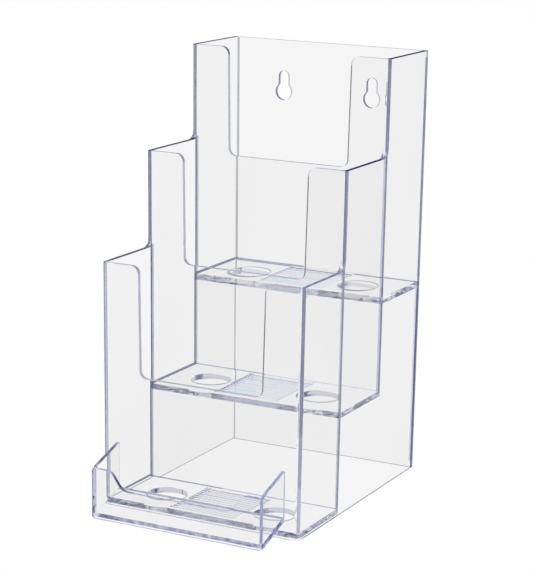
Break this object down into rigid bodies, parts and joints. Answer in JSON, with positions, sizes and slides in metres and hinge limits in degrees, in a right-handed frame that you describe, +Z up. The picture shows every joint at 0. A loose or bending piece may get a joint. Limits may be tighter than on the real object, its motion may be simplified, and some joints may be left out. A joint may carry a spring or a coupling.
{
  "type": "brochure rack",
  "caption": "Clear stepped leaflet rack with U-cut pocket fronts, ribbed shelves with two round holes each, a scooped card pocket in front and keyholes in the back.",
  "frame": {"origin": "on the table plane, in the middle of the overall width and depth", "axes": "+Z up, the pockets face -Y, +X to the right as seen from the front"},
  "size_m": [0.112, 0.157, 0.222],
  "materials": {
    "clear_wall": "polished clear styrene, faint blue-violet cast at the edges",
    "clear_shelf": "polished clear styrene with a finely ribbed field",
    "clear_card_pocket": "polished clear styrene"
  },
  "bodies": {
    "root": {"back_panel": "clear_wall", "left_side_panel": "clear_wall", "right_side_panel": "clear_wall", "tier_1_front_panel": "clear_wall", "tier_2_front_panel": "clear_wall", "tier_3_front_panel": "clear_wall", "tier_1_floor": "clear_shelf", "tier_2_floor": "clear_shelf", "tier_3_floor": "clear_shelf", "card_pocket_front": "clear_card_pocket", "card_pocket_floor": "clear_card_pocket", "card_pocket_left_wing": "clear_card_pocket", "card_pocket_right_wing": "clear_card_pocket"}
  },
  "joints": []
}
